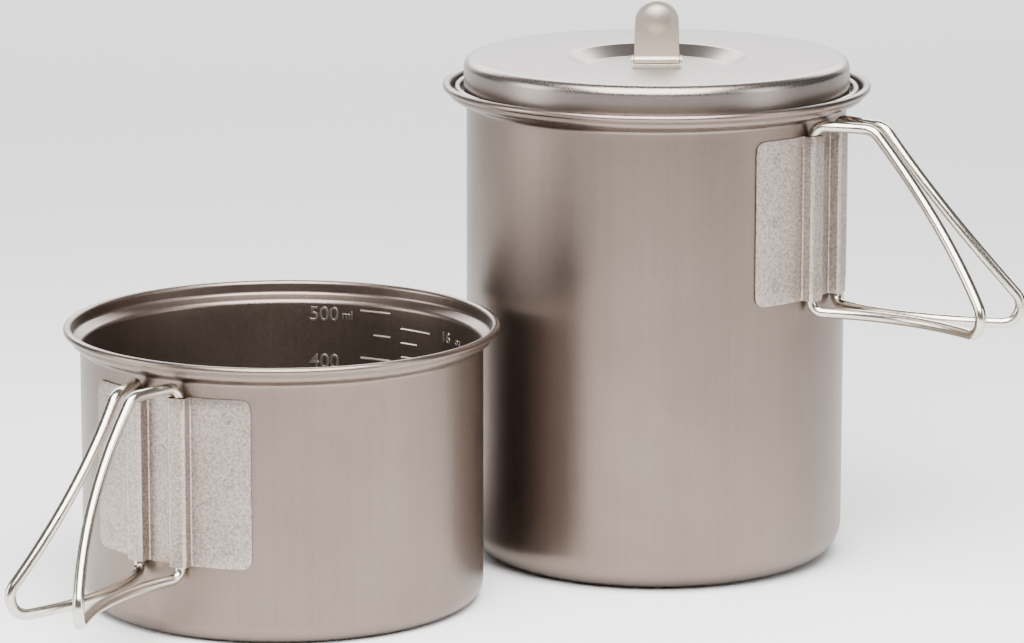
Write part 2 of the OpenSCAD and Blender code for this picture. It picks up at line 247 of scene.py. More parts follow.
def spin(name, outline, axis, rub):
    """Outline points are (radius, height). A point on the axis becomes one shared pole."""
    points, values, rings = [], [], []
    for (radius, height), value in zip(outline, rub):
        if radius < 1e-7:
            rings.append([len(points)] * SPIN_STEPS)
            points.append(axis + Vector((0, 0, height)))
            values.append(value)
            continue
        rings.append(list(range(len(points), len(points) + SPIN_STEPS)))
        for k in range(SPIN_STEPS):
            a = 2 * math.pi * k / SPIN_STEPS
            points.append(axis + Vector((radius * math.cos(a), radius * math.sin(a), height)))
            values.append(value)
    faces = []
    for ring, after in zip(rings, rings[1:]):
        for k in range(SPIN_STEPS):
            m = (k + 1) % SPIN_STEPS
            corners = [ring[k], ring[m], after[m], after[k]]
            faces.append(list(dict.fromkeys(corners)))
    return new_piece(name, points, faces, values)


# %% [markdown]
# ## Blasted titanium
# Pots like these are spun, then blasted with fine beads. The finish is a grey satin with a
# sand-like grain. On the walls faint upright marks from drawing the sheet show through it, and
# handling leaves soft smudges. Tight bends are painted lighter, a painted highlight, and are
# polished smoother. The grain, the marks and the smudges are each a shader group with its own
# inputs, so that every metal here can use it with its own values. The groups give values only:
# the Principled shader stays in each material.

# %% Helpers for node trees
def add(tree, kind, inputs=None, **settings):
    """Adds a node. Each input is a value to set or another node's socket to link from."""
    node = tree.nodes.new(kind)
    for name, value in settings.items():
        setattr(node, name, value)
    for name, value in (inputs or {}).items():
        socket = node.inputs[name]
        if isinstance(value, bpy.types.NodeSocket):
            tree.links.new(value, socket)
        else:
            socket.default_value = value
    return node


def new_group(name, kind, inputs, outputs):
    """A node group with named sockets: (name, socket type, default value or None)."""
    tree = bpy.data.node_groups.new(name, kind)
    for in_out, sockets in (("INPUT", inputs), ("OUTPUT", outputs)):
        for label, socket_type, value in sockets:
            made = tree.interface.new_socket(label, in_out=in_out, socket_type=socket_type)
            if value is not None:
                made.default_value = value
    return tree, tree.nodes.new("NodeGroupInput").outputs, tree.nodes.new("NodeGroupOutput").inputs


def noise(tree, vector, scale, detail=2.0, roughness=0.5):
    return add(tree, "ShaderNodeTexNoise", {
        "Vector": vector, "Scale": scale, "Detail": detail, "Roughness": roughness,
    }).outputs["Fac"]


def math_node(tree, operation, a, b):
    return add(tree, "ShaderNodeMath", {0: a, 1: b}, operation=operation).outputs[0]


def remap(tree, value, low, high, out_low=0.0, out_high=1.0):
    return add(tree, "ShaderNodeMapRange", {
        "Value": value, "From Min": low, "From Max": high, "To Min": out_low, "To Max": out_high,
    }).outputs["Result"]


def add_share(tree, total, value, share):
    """The total plus a share of the value."""
    return math_node(tree, "ADD", total, math_node(tree, "MULTIPLY", value, share))


def wave(tree, operation, angle):
    """The sine or cosine of an angle."""
    return add(tree, "ShaderNodeMath", {0: angle}, operation=operation).outputs[0]


def position_parts(tree):
    position = add(tree, "GeometryNodeInputPosition").outputs[0]
    return add(tree, "ShaderNodeSeparateXYZ", {0: position}).outputs


def move_points(tree, geometry, position):
    return add(tree, "GeometryNodeSetPosition", {"Geometry": geometry, "Position": position}).outputs[0]


def sweep(tree, line, radius, sides):
    """A round bar of that radius along a curve, with closed ends."""
    ring = add(tree, "GeometryNodeCurvePrimitiveCircle", {
        "Resolution": sides, "Radius": radius,
    }, mode="RADIUS")
    return add(tree, "GeometryNodeCurveToMesh", {
        "Curve": line, "Profile Curve": ring.outputs[0], "Fill Caps": True,
    }).outputs[0]


def finish_tree(tree, geometry, metal_socket, result):
    """Ends a tree: real mesh, with its metal on."""
    solid = add(tree, "GeometryNodeRealizeInstances", {"Geometry": geometry})
    painted = add(tree, "GeometryNodeSetMaterial", {"Geometry": solid.outputs[0], "Material": metal_socket})
    tree.links.new(painted.outputs[0], result["Geometry"])


FLOAT, VECTOR, INTEGER = "NodeSocketFloat", "NodeSocketVector", "NodeSocketInt"
GEOMETRY, MATERIAL = "NodeSocketGeometry", "NodeSocketMaterial"

# %% Group: the sand-like grain that blasting leaves
blasted, source, result = new_group(
    "blasted grain", "ShaderNodeTree",
    [("Vector", VECTOR, None), ("Grains per metre", FLOAT, 2600.0)],
    [("Height", FLOAT, None), ("Speckle", FLOAT, None)],
)
coarse = noise(blasted, source["Vector"], source["Grains per metre"], 1.0, 0.5)
finer = math_node(blasted, "MULTIPLY", source["Grains per metre"], 2.7)
fine = noise(blasted, source["Vector"], finer, 1.0, 0.5)
mixed = add_share(blasted, math_node(blasted, "MULTIPLY", coarse, 0.65), fine, 0.35)
blasted.links.new(mixed, result["Height"])
blasted.links.new(remap(blasted, mixed, 0.38, 0.62), result["Speckle"])

# %% Group: upright marks that drawing the sheet leaves on a wall
drawn, source, result = new_group(
    "draw marks", "ShaderNodeTree",
    [("Vector", VECTOR, None), ("Marks per metre", FLOAT, 900.0)],
    [("Mark", FLOAT, None)],
)
stretched = add(drawn, "ShaderNodeVectorMath", {
    0: source["Vector"], 1: (1.0, 1.0, 0.02),
}, operation="MULTIPLY")
wide = math_node(drawn, "MULTIPLY", source["Marks per metre"], 0.3)
close_marks = noise(drawn, stretched.outputs[0], source["Marks per metre"], 2.0, 0.6)
wide_marks = noise(drawn, stretched.outputs[0], wide, 1.0, 0.5)
both = add_share(drawn, math_node(drawn, "MULTIPLY", close_marks, 0.6), wide_marks, 0.4)
drawn.links.new(remap(drawn, both, 0.3, 0.7), result["Mark"])

# %% Group: soft smudges from handling
handled, source, result = new_group(
    "handling", "ShaderNodeTree",
    [("Vector", VECTOR, None), ("Smudges per metre", FLOAT, 26.0)],
    [("Smudge", FLOAT, None)],
)
cloud = noise(handled, source["Vector"], source["Smudges per metre"], 4.0, 0.62)
handled.links.new(remap(handled, cloud, 0.35, 0.68), result["Smudge"])


# %% One function for every metal
TONE_SHARE = 0.25


def metal(name, colour, light, roughness, grain, grain_depth, speckle_share=0.3, marks=0.0,
          mark_depth=0.0, rub_shine=0.5):
    """A metal between two colours, with tight bends painted towards the lighter one as a painted highlight. Depths
    are in metres, and rub_shine is how far the polished bends smooth.
    """
    material = bpy.data.materials.new(name)
    material.use_nodes = True
    tree = material.node_tree
    shader = tree.nodes["Principled BSDF"]
    shader.inputs["Metallic"].default_value = 1.0
    where = add(tree, "ShaderNodeTexCoord").outputs["Object"]
    grain_node = add(tree, "ShaderNodeGroup", node_tree=blasted)
    grain_node.inputs["Grains per metre"].default_value = grain
    smudge_node = add(tree, "ShaderNodeGroup", node_tree=handled)
    for node in (grain_node, smudge_node):
        tree.links.new(where, node.inputs["Vector"])
    rub = add(tree, "ShaderNodeAttribute", attribute_name="rub").outputs["Fac"]
    smudge, speckle = smudge_node.outputs["Smudge"], grain_node.outputs["Speckle"]
    tone = math_node(tree, "MULTIPLY", speckle, speckle_share)
    tone = add_share(tree, tone, smudge, TONE_SHARE)
    # Painted highlight: tight bends are mixed towards the lighter colour.
    tone = add_share(tree, tone, rub, TONE_SHARE)
    height = math_node(tree, "MULTIPLY", grain_node.outputs["Height"], grain_depth / MM)
    if marks:
        mark_node = add(tree, "ShaderNodeGroup", node_tree=drawn)
        mark_node.inputs["Marks per metre"].default_value = marks
        tree.links.new(where, mark_node.inputs["Vector"])
        upright = add(tree, "ShaderNodeAttribute", attribute_name="upright").outputs["Fac"]
        mark = math_node(tree, "MULTIPLY", mark_node.outputs["Mark"], upright)
        tone = add_share(tree, tone, mark, TONE_SHARE)
        height = add_share(tree, height, mark, mark_depth / MM)
    tint = add(tree, "ShaderNodeMix", {"Factor": tone}, data_type="RGBA")
    tint.inputs[6].default_value = (*colour, 1.0)
    tint.inputs[7].default_value = (*light, 1.0)
    tree.links.new(tint.outputs[2], shader.inputs["Base Color"])
    gloss = math_node(tree, "MULTIPLY", rub, -rub_shine * roughness)
    gloss = math_node(tree, "ADD", gloss, remap(tree, smudge, 0.0, 1.0, roughness * 1.06, roughness * 0.92))
    gloss = math_node(tree, "ADD", gloss, remap(tree, speckle, 0.0, 1.0, -0.03, 0.03))
    tree.links.new(gloss, shader.inputs["Roughness"])
    relief = add(tree, "ShaderNodeBump", {"Height": height, "Strength": 1.0, "Distance": MM})
    tree.links.new(relief.outputs["Normal"], shader.inputs["Normal"])
    return material


# %% The metals of this set
pot_titanium = metal("blasted pot titanium", (0.160, 0.124, 0.104), (0.222, 0.178, 0.152), 0.36,
                     2400, 0.008 * MM, marks=800, mark_depth=0.006 * MM, rub_shine=0.1)
lid_titanium = metal("blasted lid titanium", (0.222, 0.187, 0.167), (0.288, 0.250, 0.228), 0.33,
                     2600, 0.010 * MM, rub_shine=0.25)
bracket_titanium = metal("coarse blasted titanium", (0.215, 0.176, 0.154), (0.450, 0.386, 0.345), 0.46,
                         1500, 0.045 * MM, speckle_share=0.8, rub_shine=0.3)
weld_titanium = metal("pressed weld titanium", (0.190, 0.155, 0.138), (0.430, 0.370, 0.335), 0.38,
                      1500, 0.030 * MM, speckle_share=0.6)
# The raised lines and numbers are the pot's own titanium painted a lighter colour, a painted highlight along them.
painted_highlight_mark_titanium = metal("raised mark titanium", (0.400, 0.355, 0.325), (0.480, 0.430, 0.400), 0.36,
                      2400, 0.006 * MM)
wire_steel = metal("drawn stainless wire", (0.520, 0.480, 0.410), (0.640, 0.600, 0.530), 0.20,
                   3000, 0.003 * MM)
tab_titanium = metal("satin tab titanium", (0.360, 0.322, 0.275), (0.450, 0.408, 0.355), 0.42,
                     2600, 0.008 * MM)
print("metals:", ", ".join(m.name for m in bpy.data.materials if m.users or m.node_tree))

# %% [markdown]
# ## The two pots
# A pot is spun from a disc, so one outline turned round its axis is the whole of it: the flat
# base, the corner, the wall, a step out to the mouth, and the rim rolled outwards into a bead.
# Spinning a sheet outline gives the inside and the outside together.

# %% A pot's wall at mid-sheet, from the middle of its base to the end of its bead
def pot_path(body_r, mouth_r, height, base_r):
    wall_r = body_r - SHEET_T / 2
    curl_z = height - BEAD_R
    step_z = height - MOUTH_H
    flat_end = body_r - base_r - SHEET_T
    corner = bend(
        Vector((0, SHEET_T / 2)), Vector((wall_r, SHEET_T / 2)), Vector((wall_r, step_z)),
        base_r - SHEET_T / 2, 16,
    )
    wall = [Vector((wall_r, base_r + (step_z - STEP_RISE - base_r) * i / 8)) for i in range(1, 8)]
    mouth = bent_path(
        [(wall_r, step_z - STEP_RISE * 3), (wall_r, step_z - STEP_RISE),
         (mouth_r, step_z), (mouth_r, curl_z)],
        [STEP_BEND_R, STEP_BEND_R], 10,
    )
    curl = arc((mouth_r + CURL_R, curl_z), CURL_R, 180, -45, 24)[1:]
    return [Vector((0, SHEET_T / 2)), Vector((flat_end, SHEET_T / 2))] + corner + wall + mouth + curl


def make_pot(name, axis, body_r, mouth_r, height, base_r):
    path = pot_path(body_r, mouth_r, height, base_r)
    # The bend values paint the pot's bends lighter, a painted highlight, and make them smoother.
    rub = bend_polish_and_sheen(path)
    return spin(name, sheet_outline(path, SHEET_T), axis, rub + rub[::-1])


tall_shell = make_pot("tall_pot_shell", tall_axis, tall_r, tall_mouth_r, tall_h, TALL_BASE_R)
short_shell = make_pot("short_pot_shell", short_axis, short_r, short_mouth_r, short_h, SHORT_BASE_R)
for shell, body in ((tall_shell, "tall_pot"), (short_shell, "short_pot")):
    shell.data.materials.append(pot_titanium)
    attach(shell, body)
    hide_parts(body)
    print(shell.name, len(shell.data.polygons), "faces")

# %% [markdown]
# ## The lid
# The lid is one pressed sheet too. Its middle is sunk to a flat floor that the tab folds into,
# its skirt stands just outside the line of the pot's wall, and at the foot the sheet is folded up
# and rolled outwards. The fold rests on the slope of the pot's mouth step, and the rolled edge
# stands just below the top of the pot's bead.

# %% Lid
LID_SKIRT_OUT = 0.7 * MM
LID_EDGE_R = 2.5 * MM
LID_GROOVE_W, LID_CURL_R, LID_CURL_DROP = 0.9 * MM, 0.75 * MM, 0.8 * MM
RECESS_R, RECESS_DEPTH, RECESS_SLOPE = 23.0 * MM, 2.7 * MM, 4.7 * MM
RECESS_BEND_R = 1.6 * MM
lid_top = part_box("lid")[1].z
lid_skirt_r = tall_r + LID_SKIRT_OUT - SHEET_T / 2
fold_r = (LID_GROOVE_W + SHEET_T) / 2
fold_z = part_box("lid")[0].z + SHEET_T / 2 + fold_r
roll_r = LID_CURL_R - SHEET_T / 2
roll_at = (lid_skirt_r + 2 * fold_r + roll_r, tall_h - LID_CURL_DROP - LID_CURL_R)
recess_floor_z = lid_top - RECESS_DEPTH

top_mid, floor_mid = lid_top - SHEET_T / 2, recess_floor_z - SHEET_T / 2
lid_path = bent_path(
    [(0, floor_mid), (RECESS_R - RECESS_SLOPE, floor_mid), (RECESS_R, top_mid),
     (lid_skirt_r, top_mid), (lid_skirt_r, fold_z + SHEET_T)],
    [RECESS_BEND_R, RECESS_BEND_R, LID_EDGE_R - SHEET_T / 2], 14,
)
lid_path += arc((lid_skirt_r + fold_r, fold_z), fold_r, 180, 360, 16)
lid_path += arc(roll_at, roll_r, 180, -45, 20)
lid_polish_and_sheen = bend_polish_and_sheen(lid_path)
lid_shell = spin("lid_shell", sheet_outline(lid_path, SHEET_T), tall_axis, lid_polish_and_sheen + lid_polish_and_sheen[::-1])
lid_shell.data.materials.append(lid_titanium)
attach(lid_shell, "lid")
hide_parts("lid")
print("lid", len(lid_shell.data.polygons), "faces")

# %% [markdown]
# ## The handle brackets
# Each bracket is one strip of thicker sheet folded in plan: a wing, a square channel, the strip
# between, a channel and a wing, all following the pot's wall. The fold is a path, and the sheet
# is a grid of points along that path whose rows shorten at the wings' round corners. Solidify
# gives it its thickness and a small bevel breaks its cut edges, where the light catches.

# %% Sizes of the brackets, from the frame's boxes and hinges
BRACKET_T = 0.5 * MM
BRACKET_ARC = 48.2 * MM
BRACKET_CORNER_R = 2.6 * MM
CHANNEL_W = 3.9 * MM
CHANNEL_EDGE_R, CHANNEL_ROOT_R = 0.9 * MM, 0.6 * MM
WIRE_R, WIRE_PLAY = 1.4 * MM, 0.15 * MM
channel_depth = 2 * (WIRE_R + WIRE_PLAY)
BRACKET_LIFT = 0.03 * MM
EDGE_BREAK = 0.14 * MM

pots = {
    "tall": {"axis": tall_axis, "wall_r": tall_r, "face": 0.0},
    "short": {"axis": short_axis, "wall_r": short_r, "face": math.radians(-90)},
}
for side, pot in pots.items():
    low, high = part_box(f"{side}_bracket")
    pot["foot_z"], pot["bracket_h"] = low.z, high.z - low.z
    pivot = Vector(joints[f"{side}_handle_right_fold"]["pos_m"]) - pot["axis"]
    pot["pivot_r"] = pivot.to_2d().length
    pot["pivot_turn"] = math.atan2(pivot.y, pivot.x) - pot["face"]
    print(side, "channels stand", round(math.degrees(pot["pivot_turn"]), 2), "degrees off the middle")


# %% The bracket's fold in plan
def at_turn(radius, turn):
    return Vector((radius * math.cos(turn), radius * math.sin(turn)))


def bracket_half(wall_r, turn):
    """From the middle of the strip, over one channel, to the edge of the wing."""
    mid_r = wall_r + BRACKET_T / 2 + BRACKET_LIFT
    top_r = wall_r + BRACKET_T / 2 + channel_depth
    side = (CHANNEL_W + BRACKET_T) / 2
    foot_turn = math.asin(side / mid_r) + CHANNEL_ROOT_R / mid_r
    foot_x = math.sqrt(mid_r * mid_r - side * side)
    wing_turn = BRACKET_ARC / 2 / mid_r
    turned = Matrix.Rotation(turn, 2)
    corners = [turned @ Vector(p) for p in ((foot_x, -side), (top_r, -side), (top_r, side), (foot_x, side))]
    edge_r = CHANNEL_EDGE_R - BRACKET_T / 2
    strip = [at_turn(mid_r, (turn - foot_turn) * i / 6) for i in range(6)]
    channel = bent_path(
        [at_turn(mid_r, turn - foot_turn)] + corners + [at_turn(mid_r, turn + foot_turn)],
        [CHANNEL_ROOT_R, edge_r, edge_r, CHANNEL_ROOT_R], 8,
    )
    wing_l = (wing_turn - turn - foot_turn) * mid_r
    round_steps = [math.cos(math.pi / 2 * i / 12) for i in range(13)]
    to_edge = [wing_l * i / 8 for i in range(1, 8) if wing_l * (8 - i) / 8 > BRACKET_CORNER_R * 1.1]
    to_edge += [wing_l - BRACKET_CORNER_R * s for s in round_steps]
    return strip + channel + [at_turn(mid_r, turn + foot_turn + d / mid_r) for d in to_edge]


def corner_trim(distance):
    """How far a round corner cuts the wing's height, at that distance from its side edge."""
    inside = max(0.0, BRACKET_CORNER_R - distance)
    return BRACKET_CORNER_R - math.sqrt(max(0.0, BRACKET_CORNER_R ** 2 - inside ** 2))


BRACKET_ROWS = 14


def make_bracket(name, axis, wall_r, face, foot_z, bracket_h, pivot_r, pivot_turn):
    half = bracket_half(wall_r, pivot_turn)
    path = [Vector((p.x, -p.y)) for p in half[:0:-1]] + half
    rub = bend_polish_and_sheen(path)
    run = [0.0]
    for before, after in zip(path, path[1:]):
        run.append(run[-1] + (after - before).length)
    place = Matrix.Rotation(face, 3, "Z")
    points, values = [], []
    for point, along, value in zip(path, run, rub):
        trim = corner_trim(min(along, run[-1] - along))
        for row in range(BRACKET_ROWS + 1):
            z = foot_z + trim + (bracket_h - 2 * trim) * row / BRACKET_ROWS
            points.append(axis + place @ Vector((point.x, point.y, z)))
            values.append(value)
    step = BRACKET_ROWS + 1
    faces = [
        (i * step + j, (i + 1) * step + j, (i + 1) * step + j + 1, i * step + j + 1)
        for i in range(len(path) - 1) for j in range(BRACKET_ROWS)
    ]
    piece = new_piece(name, points, faces, values)
    thicken(piece, BRACKET_T)
    break_edges(piece, EDGE_BREAK, 2)
    return settle(piece)


for side, pot in pots.items():
    plate = make_bracket(f"{side}_bracket_plate", **pot)
    plate.data.materials.append(bracket_titanium)
    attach(plate, f"{side}_pot")
    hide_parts(f"{side}_bracket")
    print(plate.name, len(plate.data.polygons), "faces")

# %% [markdown]
# ## Spot welds
# The brackets are held by round spot welds: three on each wing and two on the strip. A weld's
# electrode leaves a shallow ring round a dished middle. One weld mark is spun once, and a
# Geometry Nodes tree sets a copy on every weld's place, turned to face out from the wall.

# %% One weld mark, facing up, with its foot in the sheet
WELD_R = 1.65 * MM
WELD_PROUD = 0.08 * MM
WELD_STEPS = 40


def make_weld_mark(name, radius, proud):
    profile = [(0.0, 0.25), (0.35, 0.30), (0.58, 0.55), (0.72, 0.95), (0.82, 1.0), (0.92, 0.6), (1.0, -0.6)]
    points, faces = [Vector((0, 0, proud * profile[0][1]))], []
    for r, z in profile[1:]:
        for k in range(WELD_STEPS):
            a = 2 * math.pi * k / WELD_STEPS
            points.append(Vector((radius * r * math.cos(a), radius * r * math.sin(a), proud * z)))
    for k in range(WELD_STEPS):
        m = (k + 1) % WELD_STEPS
        faces.append((0, 1 + k, 1 + m))
        for i in range(len(profile) - 2):
            a, b = 1 + i * WELD_STEPS, 1 + (i + 1) * WELD_STEPS
            faces.append((a + k, b + k, b + m, a + m))
    last = 1 + (len(profile) - 2) * WELD_STEPS
    faces.append([last + k for k in range(WELD_STEPS)][::-1])
    piece = new_piece(name, points, faces)
    bpy.context.scene.collection.objects.unlink(piece)
    return piece


# %% Tree: a mark on every point, facing the way the point says
marks_tree, source, result = new_group(
    "weld marks", "GeometryNodeTree",
    [("Places", GEOMETRY, None), ("Mark", "NodeSocketObject", None), ("Metal", MATERIAL, None)],
    [("Geometry", GEOMETRY, None)],
)
facing = add(marks_tree, "GeometryNodeInputNamedAttribute", {"Name": "facing"}, data_type="FLOAT_VECTOR")
turn = add(marks_tree, "FunctionNodeAlignRotationToVector", {"Vector": facing.outputs[0]}, axis="Z")
mark = add(marks_tree, "GeometryNodeObjectInfo", {"Object": source["Mark"]})
copies = add(marks_tree, "GeometryNodeInstanceOnPoints", {
    "Points": source["Places"], "Instance": mark.outputs["Geometry"], "Rotation": turn.outputs[0],
})
finish_tree(marks_tree, copies.outputs[0], source["Metal"], result)


# %% Run a tree on a piece, with its inputs set by name
def grow(piece, tree, inputs):
    """Sets the tree's inputs, takes the mesh it makes, and leaves no modifier behind."""
    modifier = piece.modifiers.new(tree.name, "NODES")
    modifier.node_group = tree
    for item in tree.interface.items_tree:
        if item.in_out == "INPUT" and item.name in inputs:
            modifier[item.identifier] = inputs[item.name]
    return settle(piece)


def point_piece(name, points, facings):
    mesh = bpy.data.meshes.new(name)
    mesh.from_pydata([tuple(p) for p in points], [], [])
    layer = mesh.attributes.new("facing", "FLOAT_VECTOR", "POINT")
    layer.data.foreach_set("vector", [x for f in facings for x in f])
    piece = bpy.data.objects.new(name, mesh)
    bpy.context.scene.collection.objects.link(piece)
    return piece


# %% Weld marks on both brackets
WELD_SIDE_INSET, WELD_END_INSET = 5.8 * MM, 4.8 * MM
weld_mark = make_weld_mark("weld_mark", WELD_R, WELD_PROUD)

for side, pot in pots.items():
    outer_r = pot["wall_r"] + BRACKET_T + BRACKET_LIFT
    wing = (BRACKET_ARC / 2 - WELD_SIDE_INSET) / outer_r
    levels = [WELD_END_INSET, pot["bracket_h"] / 2, pot["bracket_h"] - WELD_END_INSET]
    spots = [(s * wing, z) for s in (-1, 1) for z in levels]
    spots += [(0.0, pot["bracket_h"] * share / 3) for share in (1, 2)]
    outward = [at_turn(1.0, pot["face"] + a).to_3d() for a, z in spots]
    places = [
        pot["axis"] + o * outer_r + Vector((0, 0, pot["foot_z"] + z))
        for o, (a, z) in zip(outward, spots)
    ]
    welds = point_piece(f"{side}_weld_marks", places, outward)
    grow(welds, marks_tree, {"Mark": weld_mark, "Metal": weld_titanium})
    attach(welds, f"{side}_pot")
    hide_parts(f"{side}_spot_welds")
    print(welds.name, len(spots), "welds,", len(welds.data.polygons), "faces")

# %% [markdown]
# ## The wire handles
# Every loop is bent from one length of wire. It is bent flat first, over the top arm, down the
# slope, round the tip and back along the bottom arm, and then the whole loop is curved in plan
# so that it lies against the pot when it is folded. The tree does the same: it fillets the flat
# corners, curves the line onto an upright cylinder, sweeps the wire, and swings it open.

# %% Tree: a flat loop of wire, curved in plan and swung open on its hinge
loop_tree, source, result = new_group(
    "wire loop", "GeometryNodeTree",
    [("Corners", GEOMETRY, None), ("Wire radius", FLOAT, 0.0014), ("Wire sides", INTEGER, 24),
     ("Plan radius", FLOAT, 0.061), ("Side", FLOAT, 1.0), ("Step", FLOAT, 0.0006),
     ("Swing", VECTOR, (0, 0, 0)), ("Hinge", VECTOR, (0, 0, 0)), ("Metal", MATERIAL, None)],
    [("Geometry", GEOMETRY, None)],
)
corner_r = add(loop_tree, "GeometryNodeInputNamedAttribute", {"Name": "bend_radius"}, data_type="FLOAT")
line = add(loop_tree, "GeometryNodeMeshToCurve", {"Mesh": source["Corners"]})
rounded = add(loop_tree, "GeometryNodeFilletCurve", {
    "Curve": line.outputs[0], "Count": 16, "Radius": corner_r.outputs[0],
}, mode="POLY")
even = add(loop_tree, "GeometryNodeResampleCurve", {
    "Curve": rounded.outputs[0], "Length": source["Step"],
}, mode="LENGTH")
flat = position_parts(loop_tree)
angle = math_node(loop_tree, "DIVIDE", flat["X"], source["Plan radius"])
across = math_node(loop_tree, "MULTIPLY", wave(loop_tree, "SINE", angle), source["Plan radius"])
across = math_node(loop_tree, "MULTIPLY", across, source["Side"])
drop = math_node(loop_tree, "SUBTRACT", wave(loop_tree, "COSINE", angle), 1.0)
drop = math_node(loop_tree, "MULTIPLY", drop, source["Plan radius"])
curved = add(loop_tree, "ShaderNodeCombineXYZ", {"X": drop, "Y": across, "Z": flat["Z"]})
curved_line = move_points(loop_tree, even.outputs[0], curved.outputs[0])
wire = sweep(loop_tree, curved_line, source["Wire radius"], source["Wire sides"])
swung = add(loop_tree, "GeometryNodeTransform", {
    "Geometry": wire, "Rotation": source["Swing"], "Translation": source["Hinge"],
})
finish_tree(loop_tree, swung.outputs[0], source["Metal"], result)

# %% The flat loop, and how far each of the four stands open
STUB_L = 14.0 * MM
ARM_OVER, ARM_UNDER = 2.5 * MM, 3.1 * MM
TOP_ARM_L, REACH_L = 15.8 * MM, 58.5 * MM
LOOP_PLAN_R = 61.0 * MM
PIVOT_BEND_R, SLOPE_BEND_R, TIP_BEND_R = 3.0 * MM, 5.0 * MM, 4.6 * MM
OPEN = {
    "tall_handle_left": 117, "tall_handle_right": 117,
    "short_handle_left": 122, "short_handle_right": 113,
}


def loop_corners(name, bracket_h):
    over = bracket_h + ARM_OVER
    corners = [
        (0, bracket_h - STUB_L, 0), (0, over, PIVOT_BEND_R), (TOP_ARM_L, over, SLOPE_BEND_R),
        (REACH_L, -ARM_UNDER, TIP_BEND_R), (0, -ARM_UNDER, PIVOT_BEND_R), (0, STUB_L, 0),
    ]
    mesh = bpy.data.meshes.new(name)
    edges = [(i, i + 1) for i in range(len(corners) - 1)]
    mesh.from_pydata([(x, 0, z) for x, z, r in corners], edges, [])
    mesh.attributes.new("bend_radius", "FLOAT", "POINT").data.foreach_set("value", [r for x, z, r in corners])
    piece = bpy.data.objects.new(name, mesh)
    bpy.context.scene.collection.objects.link(piece)
    return piece


for node, opened in OPEN.items():
    pot = pots[node.split("_")[0]]
    side = -1 if node.endswith("left") else 1
    hinge = pot["axis"] + at_turn(pot["pivot_r"], pot["face"] + side * pot["pivot_turn"]).to_3d()
    swing = pot["face"] + side * (pot["pivot_turn"] - math.radians(opened))
    loop = loop_corners(f"{node}_wire", pot["bracket_h"])
    grow(loop, loop_tree, {
        "Wire radius": WIRE_R, "Plan radius": LOOP_PLAN_R, "Side": float(side),
        "Swing": (0.0, 0.0, swing), "Hinge": hinge + Vector((0, 0, pot["foot_z"])), "Metal": wire_steel,
    })
    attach(loop, node)
    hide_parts(node)
    print(loop.name, len(loop.data.polygons), "faces")

# %% [markdown]
# ## The lid's tab
# The finger tab is a flat tongue with a round tip and a dimple pressed through it, rolled round
# a pin at its foot. Its mesh grows in rings out from the middle of the dimple to the tongue's
# edge, so that the dimple is smooth and the edge is exact.

# %% Sizes of the tab
TAB_W, TAB_LEN, TAB_T, TAB_TAPER = 11.8 * MM, 15.6 * MM, 0.8 * MM, 0.5 * MM
DIMPLE_R, DIMPLE_DEPTH, DIMPLE_INSET = 3.8 * MM, 0.7 * MM, 4.8 * MM
KNUCKLE_R, PIN_R, PIN_PLAY = 1.1 * MM, 0.6 * MM, 0.06 * MM
TAB_EDGE_BREAK, KNUCKLE_EDGE_R, CLIP_EDGE_BREAK = 0.25 * MM, 0.15 * MM, 0.07 * MM
hinge_at = Vector(joints["lid_tab_fold"]["pos_m"])
pin_axis = Vector(joints["lid_tab_fold"]["axis"])
tab_place = Matrix.Translation(hinge_at) @ Matrix.Rotation(math.atan2(pin_axis.y, pin_axis.x), 4, "Z")
TAB_STEPS = 120


def tab_edge(centre_z, direction):
    """Distance from the dimple's middle to the tongue's edge, along a direction."""
    tip_r = (TAB_W - TAB_TAPER) / 2
    tip_z = TAB_LEN - tip_r
    lean = (TAB_W / 2 - tip_r) / tip_z
    dx, dz = abs(direction.x), direction.y
    side = (TAB_W / 2 - lean * centre_z) / max(dx + lean * dz, 1e-9)
    if dz <= 0:
        return min(side, centre_z / max(-dz, 1e-9))
    if centre_z + side * dz <= tip_z:
        return side
    up = centre_z - tip_z
    return -up * dz + math.sqrt((up * dz) ** 2 + tip_r ** 2 - up ** 2)


def dimple(distance):
    share = min(1.0, distance / DIMPLE_R)
    return DIMPLE_DEPTH * (1 - share * share) ** 1.5


def tongue():
    centre_z = TAB_LEN - DIMPLE_INSET
    shares = [i / 14 for i in range(1, 15)] + [1 + i / 6 for i in range(1, 7)]
    points, faces = [Vector((0, -dimple(0), centre_z))], []
    for share in shares:
        for k in range(TAB_STEPS):
            a = 2 * math.pi * k / TAB_STEPS
            direction = Vector((math.cos(a), math.sin(a)))
            edge = tab_edge(centre_z, direction)
            reach = DIMPLE_R * share if share <= 1 else DIMPLE_R + (edge - DIMPLE_R) * (share - 1)
            points.append(Vector((reach * direction.x, -dimple(reach), centre_z + reach * direction.y)))
    for k in range(TAB_STEPS):
        m = (k + 1) % TAB_STEPS
        faces.append((0, 1 + k, 1 + m))
        for i in range(len(shares) - 1):
            a, b = 1 + i * TAB_STEPS, 1 + (i + 1) * TAB_STEPS
            faces.append((a + k, b + k, b + m, a + m))
    return points, faces


# %% The tongue and its rolled knuckle
points, faces = tongue()
tab = new_piece("lid_tab_tongue", [tab_place @ p for p in points], faces)
thicken(tab, TAB_T)
break_edges(tab, TAB_EDGE_BREAK, 3)
settle(tab)


RING_STEPS = 48


